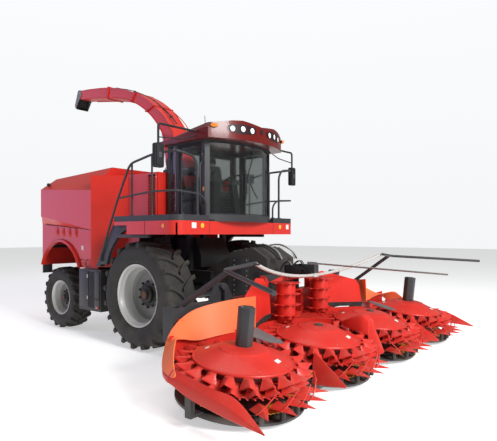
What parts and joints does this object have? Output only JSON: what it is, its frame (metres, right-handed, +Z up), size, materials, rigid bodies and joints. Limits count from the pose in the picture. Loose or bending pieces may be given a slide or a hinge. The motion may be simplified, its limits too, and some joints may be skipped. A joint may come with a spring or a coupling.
{
  "type": "self-propelled forage harvester",
  "caption": "Self-propelled forage harvester with a glazed cab, a swivelling discharge spout and a folding rotary maize header.",
  "frame": {"origin": "on the ground, on the centre plane, under the middle of the whole length", "axes": "-Y is forward, +X is the machine's left side and +Z is up"},
  "size_m": [6.237, 8.2604, 5.1857],
  "materials": {
    "red_paint": "gloss",
    "orange_paint": "gloss",
    "dark_paint": "satin",
    "grey_paint": "satin",
    "yellow_paint": "satin",
    "white_paint": "gloss",
    "rim_silver": "satin",
    "tyre": "matte",
    "cab_black": "matte",
    "cab_glass": "gloss",
    "seat_fabric": "matte",
    "ram_steel": "polished",
    "cast_iron": "matte"
  },
  "bodies": {
    "machine": {"chassis_frame": "dark_paint", "drive_axle": "dark_paint", "steer_axle_beam": "dark_paint", "engine_block": "cast_iron", "platform_deck": "red_paint", "platform_caps": "grey_paint", "cab_shell": "dark_paint", "cab_glass": "cab_glass", "cab_roof": "red_paint", "roof_lamps": "grey_paint", "driver_seat": "seat_fabric", "cab_controls": "cab_black", "handrails": "dark_paint", "mirrors": "cab_black", "side_gear": "dark_paint", "hood_front": "red_paint", "hood_rear": "red_paint", "hood_skirt": "red_paint", "crop_channel": "grey_paint"},
    "drive_wheel_left": {"drive_tyre_left": "tyre", "drive_wheel_left": "rim_silver"},
    "knuckle_left": {"steering_knuckle_left": "dark_paint"},
    "steer_wheel_left": {"steer_tyre_left": "tyre", "steer_wheel_left": "rim_silver"},
    "door_left": {"door_frame_left": "cab_black", "door_glass_left": "cab_glass"},
    "drive_wheel_right": {"drive_tyre_right": "tyre", "drive_wheel_right": "rim_silver"},
    "knuckle_right": {"steering_knuckle_right": "dark_paint"},
    "steer_wheel_right": {"steer_tyre_right": "tyre", "steer_wheel_right": "rim_silver"},
    "door_right": {"door_frame_right": "cab_black", "door_glass_right": "cab_glass"},
    "tie_rod": {"tie_rod": "ram_steel"},
    "spout_turntable": {"spout_turntable": "dark_paint"},
    "spout_arm": {"spout_arm": "red_paint"},
    "spout_flap": {"spout_flap": "red_paint"},
    "spout_ram_barrel": {"spout_ram_barrel": "ram_steel"},
    "spout_ram_rod": {"spout_ram_rod": "ram_steel"},
    "header": {"feeder_house": "dark_paint", "header_frame": "dark_paint", "center_panels": "red_paint", "guide_tube": "white_paint", "guide_rod": "grey_paint"},
    "lift_ram_barrels": {"lift_ram_barrels": "ram_steel"},
    "lift_ram_rods": {"lift_ram_rods": "ram_steel"},
    "wing_left": {"wing_frame_left": "dark_paint", "wing_panels_left": "orange_paint"},
    "feed_drum_left": {"feed_drum_left": "red_paint"},
    "wing_right": {"wing_frame_right": "dark_paint", "wing_panels_right": "orange_paint"},
    "feed_drum_right": {"feed_drum_right": "red_paint"},
    "rotor_1": {"rotor_drum_1": "red_paint"},
    "knife_1": {"knife_disc_1": "yellow_paint"},
    "rotor_2": {"rotor_drum_2": "red_paint"},
    "knife_2": {"knife_disc_2": "yellow_paint"},
    "rotor_3": {"rotor_drum_3": "red_paint"},
    "knife_3": {"knife_disc_3": "yellow_paint"},
    "rotor_4": {"rotor_drum_4": "red_paint"},
    "knife_4": {"knife_disc_4": "yellow_paint"}
  },
  "joints": [
    {"name": "drive_wheel_left_spin", "type": "hinge", "parent": "machine", "child": "drive_wheel_left", "pos_m": [1.206, 0.17, 0.873], "axis": [1, 0, 0], "continuous": true},
    {"name": "drive_wheel_right_spin", "type": "hinge", "parent": "machine", "child": "drive_wheel_right", "pos_m": [-1.206, 0.17, 0.873], "axis": [1, 0, 0], "continuous": true},
    {"name": "steering_left", "type": "hinge", "parent": "machine", "child": "knuckle_left", "pos_m": [0.79, 2.809, 0.605], "axis": [0, 0, 1], "range_deg": [-30, 30]},
    {"name": "steer_wheel_left_spin", "type": "hinge", "parent": "knuckle_left", "child": "steer_wheel_left", "pos_m": [1.1, 2.809, 0.605], "axis": [1, 0, 0], "continuous": true},
    {"name": "steering_right", "type": "hinge", "parent": "machine", "child": "knuckle_right", "pos_m": [-0.79, 2.809, 0.605], "axis": [0, 0, 1], "range_deg": [-30, 30]},
    {"name": "steer_wheel_right_spin", "type": "hinge", "parent": "knuckle_right", "child": "steer_wheel_right", "pos_m": [-1.1, 2.809, 0.605], "axis": [1, 0, 0], "continuous": true},
    {"name": "tie_rod_turn", "type": "hinge", "parent": "knuckle_left", "child": "tie_rod", "pos_m": [0.79, 2.479, 0.605], "axis": [0, 0, 1], "range_deg": [-30, 30]},
    {"name": "door_left_hinge", "type": "hinge", "parent": "machine", "child": "door_left", "pos_m": [0.87, -0.725, 2.7], "axis": [0, 0, -1], "range_deg": [0, 50]},
    {"name": "door_right_hinge", "type": "hinge", "parent": "machine", "child": "door_right", "pos_m": [-0.87, -0.725, 2.7], "axis": [0, 0, 1], "range_deg": [0, 50]},
    {"name": "spout_slew", "type": "hinge", "parent": "machine", "child": "spout_turntable", "pos_m": [0, 0.73, 3], "axis": [0, 0, 1], "range_deg": [-100, 100]},
    {"name": "spout_lift", "type": "hinge", "parent": "spout_turntable", "child": "spout_arm", "pos_m": [0, 0.69, 3.2], "axis": [1, 0, 0], "range_deg": [-12, 8]},
    {"name": "spout_flap_hinge", "type": "hinge", "parent": "spout_arm", "child": "spout_flap", "pos_m": [0, 3.91, 5.11], "axis": [-1, 0, 0], "range_deg": [-5, 40]},
    {"name": "spout_ram_turn", "type": "hinge", "parent": "spout_turntable", "child": "spout_ram_barrel", "pos_m": [0, 1.03, 3.11], "axis": [1, 0, 0], "range_deg": [-14, 10]},
    {"name": "spout_ram_stroke", "type": "slide", "parent": "spout_ram_barrel", "child": "spout_ram_rod", "axis": [0, 0.2425, 0.9701], "range_m": [-0.08, 0.06]},
    {"name": "header_lift", "type": "hinge", "parent": "machine", "child": "header", "pos_m": [0, -0.18, 1.14], "axis": [-1, 0, 0], "range_deg": [0, 17]},
    {"name": "lift_ram_turn", "type": "hinge", "parent": "machine", "child": "lift_ram_barrels", "pos_m": [0, -0.07, 0.64], "axis": [-1, 0, 0], "range_deg": [0, 15.5]},
    {"name": "lift_ram_stroke", "type": "slide", "parent": "lift_ram_barrels", "child": "lift_ram_rods", "axis": [0, -0.9971, 0.0755], "range_m": [0, 0.15]},
    {"name": "wing_left_fold", "type": "hinge", "parent": "header", "child": "wing_left", "pos_m": [1.535, -1.7, 1.17], "axis": [0, -1, 0], "range_deg": [0, 90]},
    {"name": "wing_right_fold", "type": "hinge", "parent": "header", "child": "wing_right", "pos_m": [-1.535, -1.7, 1.17], "axis": [0, 1, 0], "range_deg": [0, 90]},
    {"name": "rotor_1_spin", "type": "hinge", "parent": "wing_right", "child": "rotor_1", "pos_m": [-2.3025, -2.74, 0.533], "axis": [0, -0.1011, 0.9949], "continuous": true},
    {"name": "knife_1_spin", "type": "hinge", "parent": "wing_right", "child": "knife_1", "pos_m": [-2.3025, -2.74, 0.533], "axis": [0, -0.1011, 0.9949], "continuous": true},
    {"name": "rotor_2_spin", "type": "hinge", "parent": "header", "child": "rotor_2", "pos_m": [-0.7675, -2.74, 0.533], "axis": [0, -0.1011, 0.9949], "continuous": true},
    {"name": "knife_2_spin", "type": "hinge", "parent": "header", "child": "knife_2", "pos_m": [-0.7675, -2.74, 0.533], "axis": [0, -0.1011, 0.9949], "continuous": true},
    {"name": "rotor_3_spin", "type": "hinge", "parent": "header", "child": "rotor_3", "pos_m": [0.7675, -2.74, 0.533], "axis": [0, -0.1011, 0.9949], "continuous": true},
    {"name": "knife_3_spin", "type": "hinge", "parent": "header", "child": "knife_3", "pos_m": [0.7675, -2.74, 0.533], "axis": [0, -0.1011, 0.9949], "continuous": true},
    {"name": "rotor_4_spin", "type": "hinge", "parent": "wing_left", "child": "rotor_4", "pos_m": [2.3025, -2.74, 0.533], "axis": [0, -0.1011, 0.9949], "continuous": true},
    {"name": "knife_4_spin", "type": "hinge", "parent": "wing_left", "child": "knife_4", "pos_m": [2.3025, -2.74, 0.533], "axis": [0, -0.1011, 0.9949], "continuous": true},
    {"name": "feed_drum_left_spin", "type": "hinge", "parent": "header", "child": "feed_drum_left", "pos_m": [0.47, -2.035, 0.64], "axis": [0, 0, 1], "continuous": true},
    {"name": "feed_drum_right_spin", "type": "hinge", "parent": "header", "child": "feed_drum_right", "pos_m": [-0.47, -2.035, 0.64], "axis": [0, 0, 1], "continuous": true}
  ],
  "couplings": [
    {"joint": "steering_right", "follows": "steering_left", "ratio": 1},
    {"joint": "tie_rod_turn", "follows": "steering_left", "ratio": -1},
    {"joint": "spout_ram_turn", "follows": "spout_lift", "ratio": 1.0089},
    {"joint": "spout_ram_stroke", "follows": "spout_lift", "m_per_rad": 0.35015},
    {"joint": "lift_ram_turn", "follows": "header_lift", "ratio": 0.85731},
    {"joint": "lift_ram_stroke", "follows": "header_lift", "m_per_rad": 0.46975}
  ]
}
